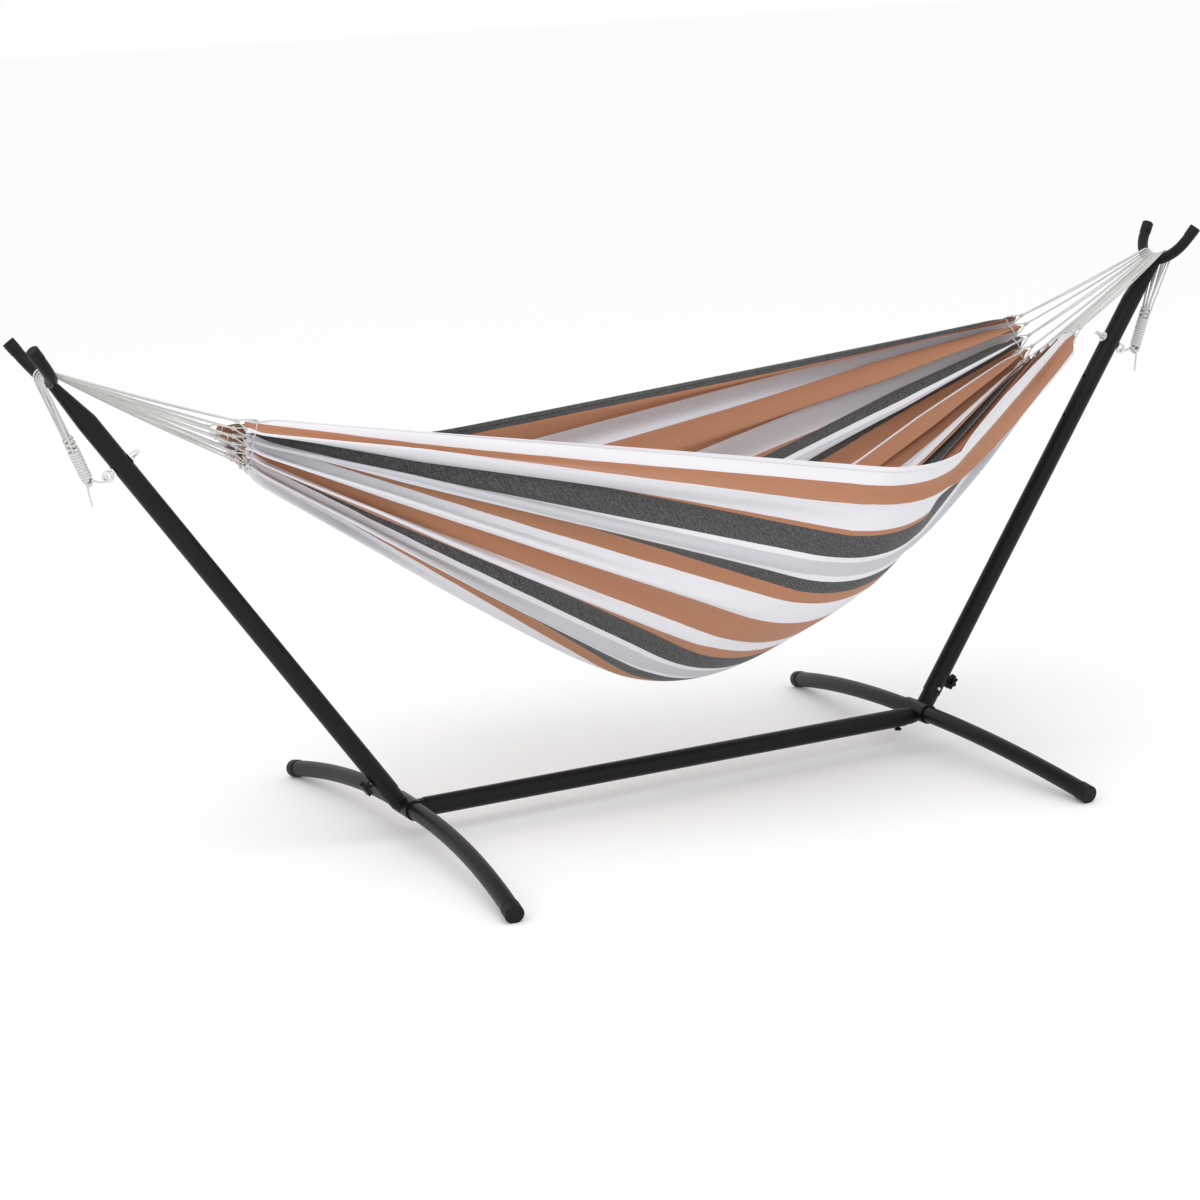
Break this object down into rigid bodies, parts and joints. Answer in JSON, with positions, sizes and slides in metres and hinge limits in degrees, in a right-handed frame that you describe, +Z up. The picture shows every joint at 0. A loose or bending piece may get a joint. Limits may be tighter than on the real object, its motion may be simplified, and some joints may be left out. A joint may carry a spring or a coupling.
{
  "type": "hammock on stand",
  "caption": "Striped cotton hammock hung by cords from the forked uprights of a freestanding black steel tube stand on curved splayed feet.",
  "frame": {"origin": "on the floor under the middle of the stand", "axes": "+X along the stand and the beam, +Y across it, +Z up"},
  "size_m": [2.8286, 1.2762, 1.1673],
  "materials": {
    "black_powder_coat": "satin black powder coat on steel tube",
    "black_plastic": "moulded black plastic with a fine grain",
    "zinc_steel": "bright zinc plated steel",
    "cotton_cord": "off-white laid cotton cord",
    "striped_cotton": "woven cotton with lengthwise white, terracotta, charcoal and grey stripes"
  },
  "bodies": {
    "stand": {"centre_beam": "black_powder_coat", "left_elbow": "black_powder_coat", "left_eye_bolt": "zinc_steel", "left_eye_bolt_washers": "zinc_steel", "left_far_foot": "black_powder_coat", "left_far_foot_cap": "black_plastic", "left_far_fork_cap": "black_plastic", "left_fork": "black_powder_coat", "left_link_cord": "cotton_cord", "left_near_foot": "black_powder_coat", "left_near_foot_cap": "black_plastic", "left_near_fork_cap": "black_plastic", "left_rope_bundle": "cotton_cord", "left_rope_tail": "cotton_cord", "left_upright": "black_powder_coat", "left_whipping": "cotton_cord", "right_elbow": "black_powder_coat", "right_eye_bolt": "zinc_steel", "right_eye_bolt_washers": "zinc_steel", "right_far_foot": "black_powder_coat", "right_far_foot_cap": "black_plastic", "right_far_fork_cap": "black_plastic", "right_fork": "black_powder_coat", "right_link_cord": "cotton_cord", "right_near_foot": "black_powder_coat", "right_near_foot_cap": "black_plastic", "right_near_fork_cap": "black_plastic", "right_rope_bundle": "cotton_cord", "right_rope_tail": "cotton_cord", "right_upright": "black_powder_coat", "right_whipping": "cotton_cord"},
    "right_knob": {"right_knob": "black_plastic", "right_knob_stud": "zinc_steel"},
    "right_snap_button": {"right_snap_button": "zinc_steel"},
    "right_beam_screw": {"right_beam_screw": "black_plastic"},
    "right_wing_nut": {"right_wing_nut": "zinc_steel"},
    "left_knob": {"left_knob": "black_plastic", "left_knob_stud": "zinc_steel"},
    "left_snap_button": {"left_snap_button": "zinc_steel"},
    "left_beam_screw": {"left_beam_screw": "black_plastic"},
    "left_wing_nut": {"left_wing_nut": "zinc_steel"},
    "hammock": {"hammock_bed": "striped_cotton", "left_harness_cords": "cotton_cord", "right_harness_cords": "cotton_cord", "left_hem_knots": "cotton_cord", "right_hem_knots": "cotton_cord"}
  },
  "joints": [
    {"name": "hammock_swing", "type": "hinge", "parent": "stand", "child": "hammock", "pos_m": [0, 0, 1.08251], "axis": [1, 0, 0], "range_deg": [-20, 20]},
    {"name": "right_knob_turn", "type": "hinge", "parent": "stand", "child": "right_knob", "pos_m": [0.73442, 0, 0.14173], "axis": [0.829, 0, -0.5592], "range_deg": [0, 360]},
    {"name": "right_button_press", "type": "slide", "parent": "stand", "child": "right_snap_button", "axis": [0, 1, 0], "range_m": [0, 0.004], "stiffness_N_per_m": 800},
    {"name": "right_screw_turn", "type": "hinge", "parent": "stand", "child": "right_beam_screw", "pos_m": [0.597, 0, 0.04836], "axis": [0, 0, -1], "range_deg": [0, 360]},
    {"name": "right_wing_turn", "type": "hinge", "parent": "stand", "child": "right_wing_nut", "pos_m": [1.1961, 0, 0.91472], "axis": [-0.829, 0, 0.5592], "range_deg": [0, 360]},
    {"name": "left_knob_turn", "type": "hinge", "parent": "stand", "child": "left_knob", "pos_m": [-0.73442, 0, 0.14173], "axis": [-0.829, 0, -0.5592], "range_deg": [0, 360]},
    {"name": "left_button_press", "type": "slide", "parent": "stand", "child": "left_snap_button", "axis": [0, -1, 0], "range_m": [0, 0.004], "stiffness_N_per_m": 800},
    {"name": "left_screw_turn", "type": "hinge", "parent": "stand", "child": "left_beam_screw", "pos_m": [-0.597, 0, 0.04836], "axis": [0, 0, -1], "range_deg": [0, 360]},
    {"name": "left_wing_turn", "type": "hinge", "parent": "stand", "child": "left_wing_nut", "pos_m": [-1.1961, 0, 0.91472], "axis": [0.829, 0, 0.5592], "range_deg": [0, 360]}
  ]
}
